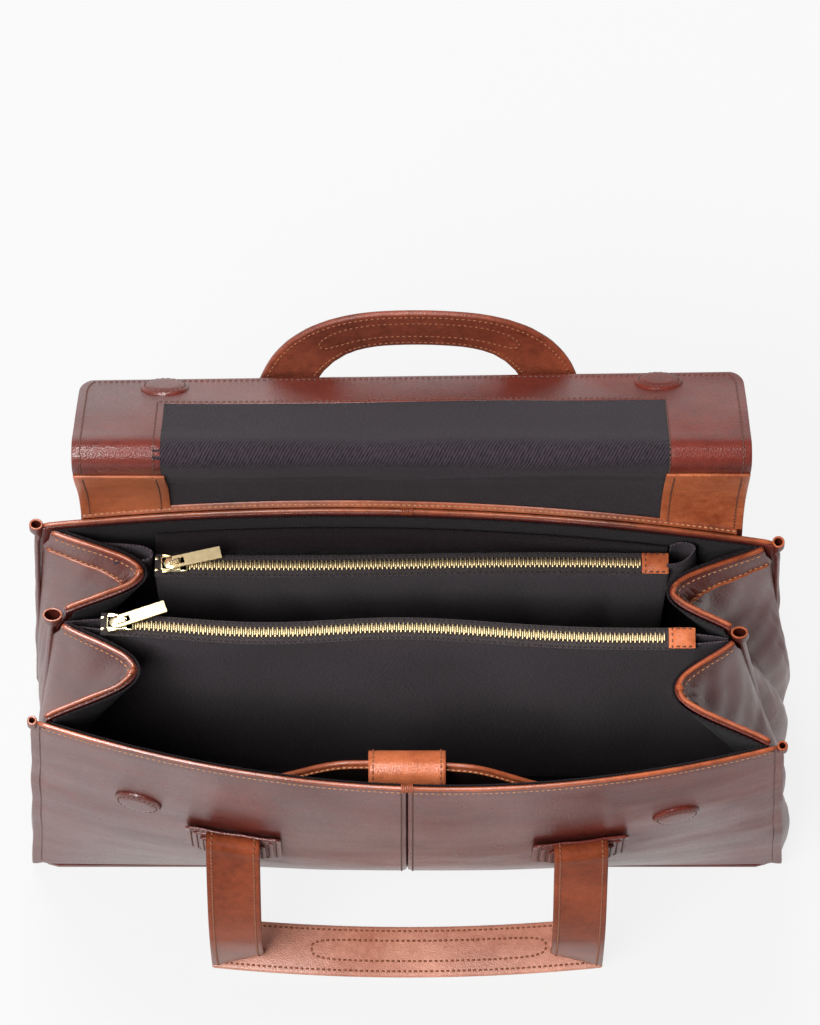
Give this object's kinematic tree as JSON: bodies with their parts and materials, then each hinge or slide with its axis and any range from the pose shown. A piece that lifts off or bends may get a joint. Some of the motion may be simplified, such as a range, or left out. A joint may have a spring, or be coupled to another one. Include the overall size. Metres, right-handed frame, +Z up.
{
  "type": "leather business bag",
  "caption": "Soft leather business bag, standing open, with folded side gussets, zipped inner pockets, a flap thrown back and two handles.",
  "frame": {"origin": "centre of the base's flat underside, on the floor", "axes": "+Z up, the front faces -Y, +X to the right seen from the front"},
  "size_m": [0.4364, 0.2949, 0.3824],
  "materials": {
    "leather_body": "smooth red-brown leather, semi-gloss",
    "leather_trim": "tan leather, burnished, semi-gloss",
    "leather_strap": "tan-brown layered leather, stitched edges, semi-gloss",
    "lining_fabric": "black twill, matt",
    "zip_tape": "dark woven tape, matt",
    "brass": "polished"
  },
  "bodies": {
    "bag": {"base_lining": "lining_fabric", "base_panel": "leather_body", "corner_welt_front_left": "leather_body", "corner_welt_front_right": "leather_body", "corner_welt_rear_left": "leather_body", "corner_welt_rear_right": "leather_body", "divider_front": "lining_fabric", "divider_rear": "lining_fabric", "flap_disc_left": "leather_trim", "flap_disc_right": "leather_trim", "flap_facing": "leather_trim", "flap_lining": "lining_fabric", "flap_outer": "leather_body", "front_binding": "leather_trim", "front_disc_left": "leather_body", "front_disc_right": "leather_body", "front_lining": "lining_fabric", "front_panel_left": "leather_body", "front_panel_right": "leather_body", "gusset_binding_front_left": "leather_trim", "gusset_binding_front_right": "leather_trim", "gusset_binding_rear_left": "leather_trim", "gusset_binding_rear_right": "leather_trim", "gusset_front_left": "leather_body", "gusset_front_right": "leather_body", "gusset_lining_front_left": "lining_fabric", "gusset_lining_front_right": "lining_fabric", "gusset_lining_rear_left": "lining_fabric", "gusset_lining_rear_right": "lining_fabric", "gusset_rear_left": "leather_body", "gusset_rear_right": "leather_body", "handle_front": "leather_strap", "handle_patch_front_left": "leather_body", "handle_patch_front_right": "leather_body", "handle_patch_rear_left": "leather_body", "handle_patch_rear_right": "leather_body", "handle_rear": "leather_strap", "middle_welt_left": "leather_body", "middle_welt_right": "leather_body", "middle_zip_slider": "brass", "middle_zip_tab": "leather_trim", "middle_zip_tape": "zip_tape", "middle_zip_teeth": "brass", "pocket_tab": "leather_trim", "rear_binding": "leather_trim", "rear_lining": "lining_fabric", "rear_panel_left": "leather_body", "rear_panel_right": "leather_body", "rear_pocket_back": "lining_fabric", "rear_pocket_front": "lining_fabric", "rear_zip_slider": "brass", "rear_zip_tab": "leather_trim", "rear_zip_tape": "zip_tape", "rear_zip_teeth": "brass", "slip_binding": "leather_trim", "slip_pocket": "leather_body"},
    "pull_middle": {"middle_zip_pull": "brass"},
    "pull_rear": {"rear_zip_pull": "brass"}
  },
  "joints": [
    {"name": "middle_pull_hinge", "type": "hinge", "parent": "bag", "child": "pull_middle", "pos_m": [-0.1563, 0.00404, 0.2728], "axis": [-0.3256, 0.9455, 0], "range_deg": [-120, 0]},
    {"name": "rear_pull_hinge", "type": "hinge", "parent": "bag", "child": "pull_rear", "pos_m": [-0.1273, 0.0385, 0.2708], "axis": [-0.225, 0.9744, 0], "range_deg": [-120, 0]}
  ]
}
